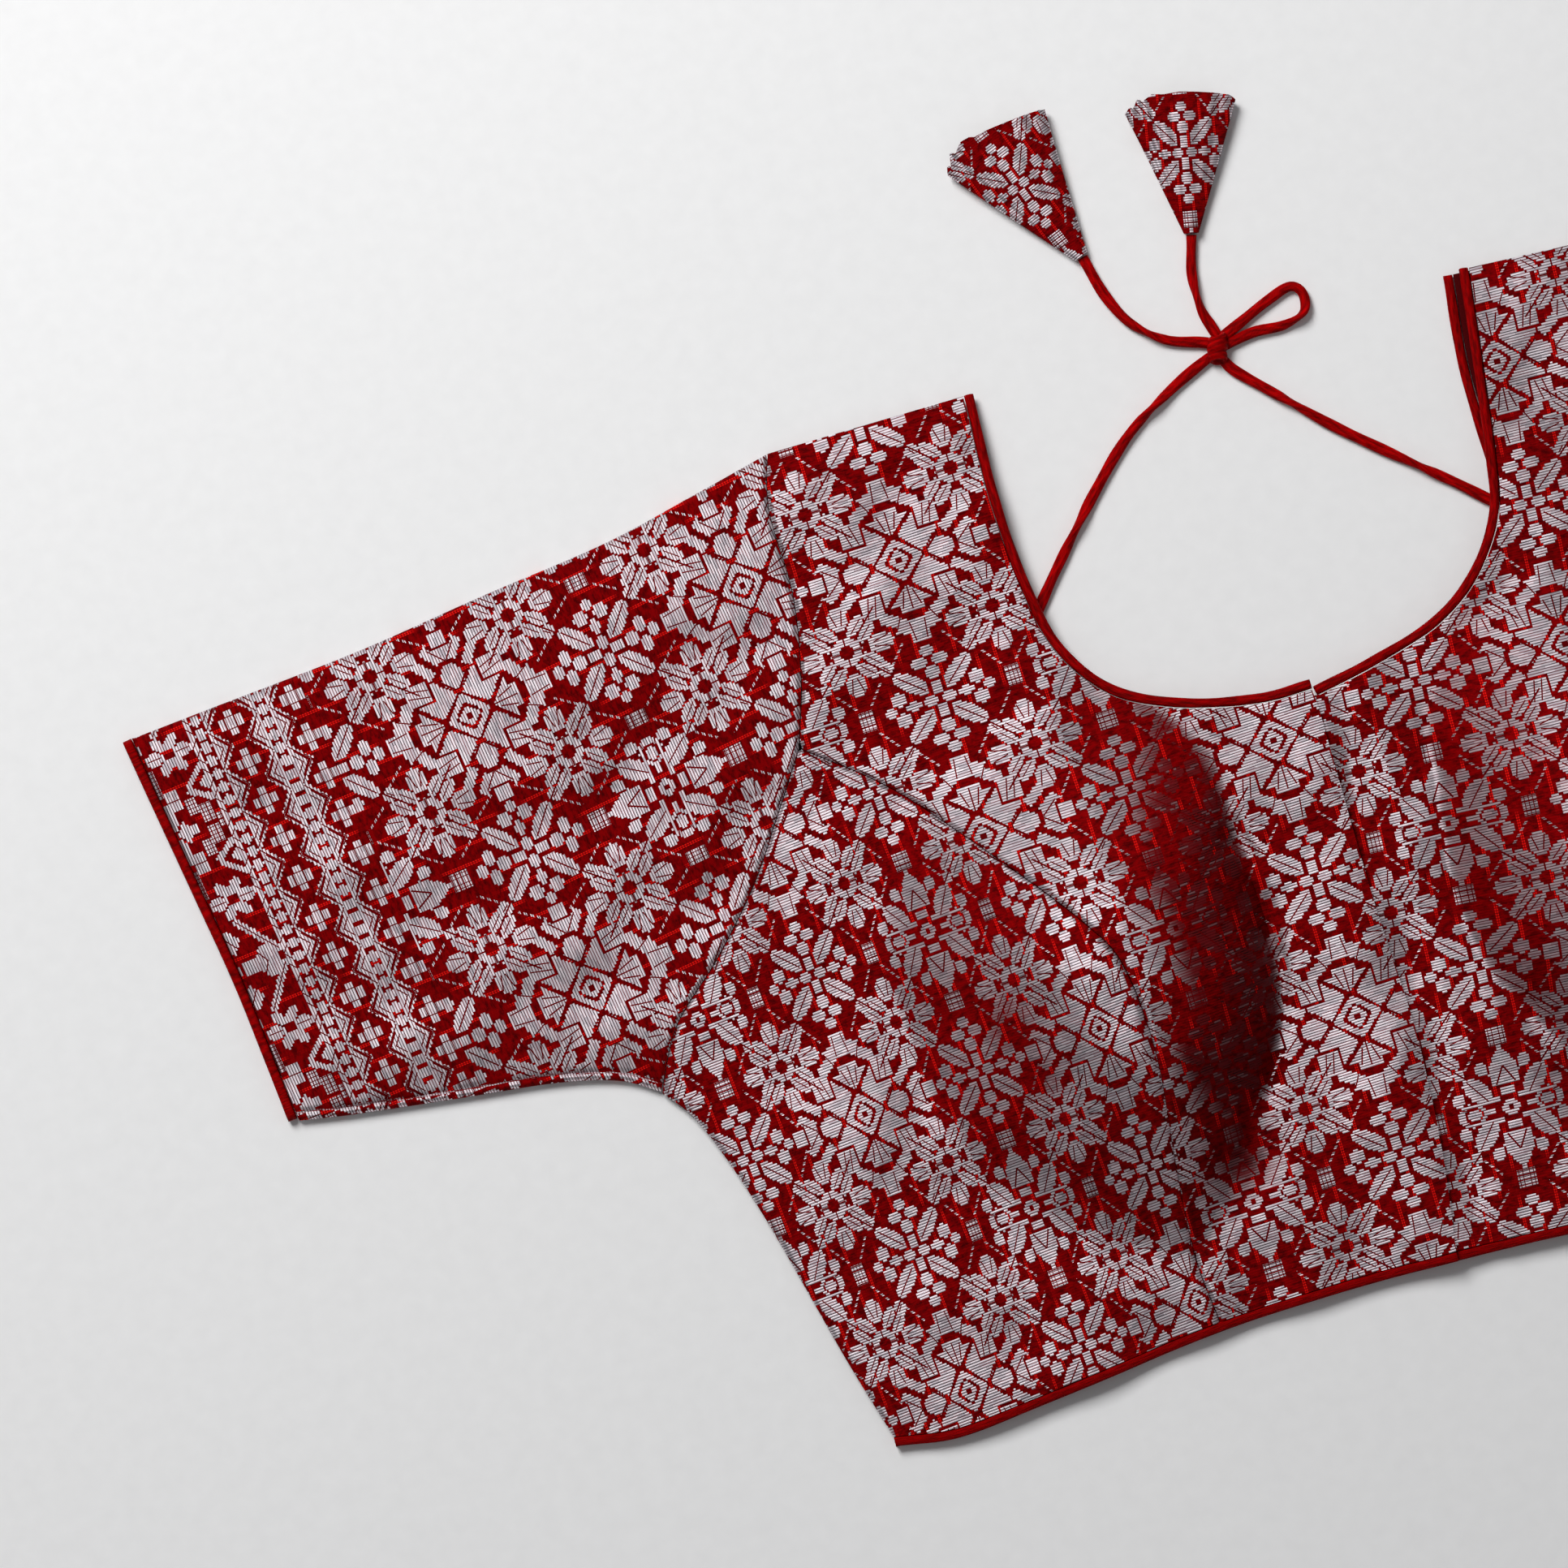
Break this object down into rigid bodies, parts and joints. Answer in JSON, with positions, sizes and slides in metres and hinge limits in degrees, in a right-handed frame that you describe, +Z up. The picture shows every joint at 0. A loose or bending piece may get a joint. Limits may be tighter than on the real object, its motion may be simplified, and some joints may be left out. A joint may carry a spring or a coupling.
{
  "type": "brocade saree blouse",
  "caption": "Short-sleeved blouse of figured brocade worn under a sari, laid flat front up, with padded cups, a deep piped neckline and a back tie with cone tassels.",
  "frame": {"origin": "on the surface the blouse lies on, under the middle of its own box without the tie: on the centre front, half way between the hem and the shoulders", "axes": "+X towards the wearer's left sleeve, +Y towards the shoulders and neck, +Z up from the surface, with the front of the blouse on top"},
  "size_m": [0.8136, 0.4475, 0.0509],
  "materials": {
    "red_silver_brocade": "silk and metal thread brocade, semi-glossy",
    "red_satin_piping": "satin",
    "red_rolled_tie": "satin"
  },
  "bodies": {
    "root": {"back_panel_left": "red_silver_brocade", "back_panel_right": "red_silver_brocade", "dori_knot": "red_rolled_tie", "dori_left": "red_rolled_tie", "dori_loop": "red_rolled_tie", "dori_right": "red_rolled_tie", "dori_tail_left": "red_rolled_tie", "dori_tail_right": "red_rolled_tie", "front_centre_left": "red_silver_brocade", "front_centre_right": "red_silver_brocade", "front_side_left": "red_silver_brocade", "front_side_right": "red_silver_brocade", "hem_binding_back": "red_satin_piping", "hem_binding_left": "red_satin_piping", "hem_binding_right": "red_satin_piping", "latkan_left": "red_silver_brocade", "latkan_right": "red_silver_brocade", "neck_piping_back": "red_satin_piping", "neck_piping_left": "red_satin_piping", "neck_piping_right": "red_satin_piping", "placket_strip": "red_silver_brocade", "sleeve_binding_left": "red_satin_piping", "sleeve_binding_right": "red_satin_piping", "sleeve_left": "red_silver_brocade", "sleeve_right": "red_silver_brocade"}
  },
  "joints": []
}
